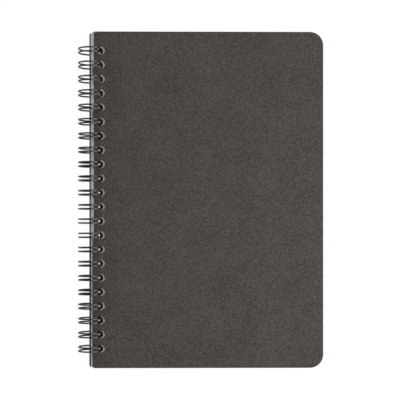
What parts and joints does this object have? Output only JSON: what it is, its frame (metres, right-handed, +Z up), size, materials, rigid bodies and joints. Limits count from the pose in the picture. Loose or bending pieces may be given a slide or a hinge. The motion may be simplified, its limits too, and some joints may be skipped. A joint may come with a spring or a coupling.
{
  "type": "wire-bound notebook",
  "caption": "Side-bound notebook: two leatherette-covered boards and a block of plain sheets on a black twin-loop wire, both covers turning round the rings.",
  "frame": {"origin": "middle of the footprint, on the surface that the notebook lies on", "axes": "+X from the wire spine to the fore edge, +Y from the bottom edge to the top edge of the covers, +Z up, out of the front cover"},
  "size_m": [0.1466, 0.201, 0.0143],
  "materials": {
    "black_coated_wire": "black glossy coating on steel wire",
    "paper": "uncoated writing paper, cut edges showing the sheets",
    "leatherette": "dark warm grey bonded leather, fine grain, dull sheen, soft pressed rim"
  },
  "bodies": {
    "binding": {"twin_loop_wire": "black_coated_wire", "page_block": "paper"},
    "front_cover": {"front_cover": "leatherette"},
    "back_cover": {"back_cover": "leatherette"}
  },
  "joints": [
    {"name": "front_cover_turn", "type": "hinge", "parent": "binding", "child": "front_cover", "pos_m": [-0.06615, 0, 0.00715], "axis": [0, -1, 0], "range_deg": [0, 240]},
    {"name": "back_cover_turn", "type": "hinge", "parent": "binding", "child": "back_cover", "pos_m": [-0.06615, 0, 0.00715], "axis": [0, 1, 0], "range_deg": [0, 240]}
  ]
}
